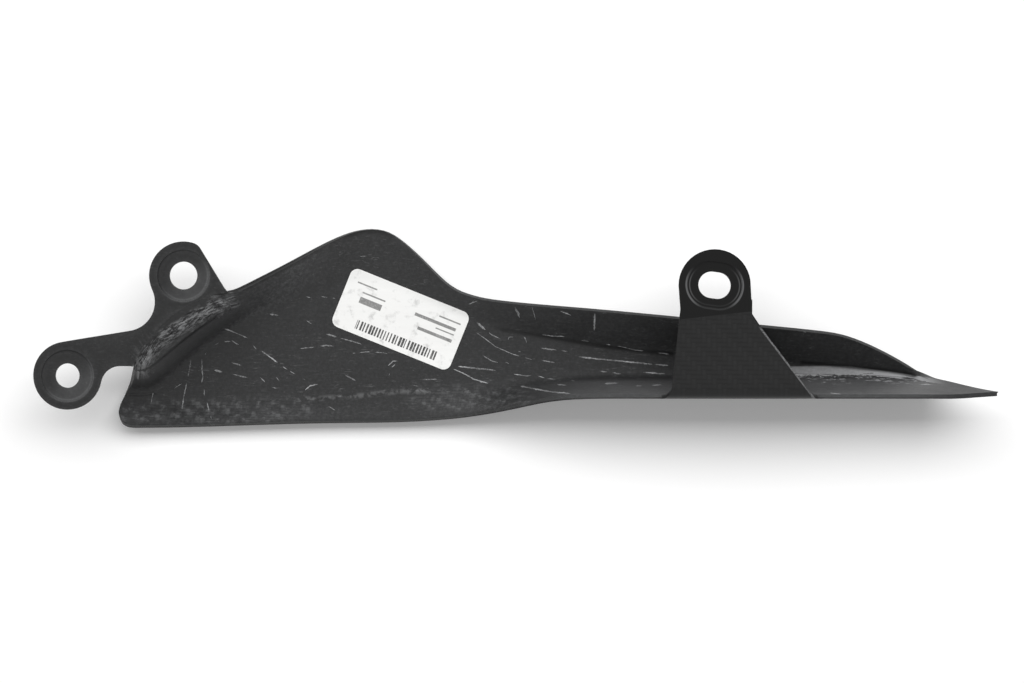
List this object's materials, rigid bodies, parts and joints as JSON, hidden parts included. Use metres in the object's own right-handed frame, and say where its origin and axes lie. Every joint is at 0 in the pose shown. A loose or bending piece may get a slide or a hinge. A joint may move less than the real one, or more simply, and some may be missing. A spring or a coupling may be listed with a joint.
{
  "type": "motorcycle chain guard",
  "caption": "Long moulded chain guard shell with a stepped front mounting plate, a hump, an upright web, a folded rear tab and a tapering tail.",
  "frame": {"origin": "centre of the front mounting bore, on the seat round it", "axes": "+X runs along the guard to its tail, +Z along the bore's axis, from the outer wall to the swingarm side"},
  "size_m": [0.3874, 0.0812, 0.0417],
  "materials": {
    "carbon_laminate": "woven carbon laminate, semi-gloss resin with a rough bag side",
    "paper_label": "satin self-adhesive paper"
  },
  "bodies": {
    "root": {"guard": "carbon_laminate", "label": "paper_label"}
  },
  "joints": []
}
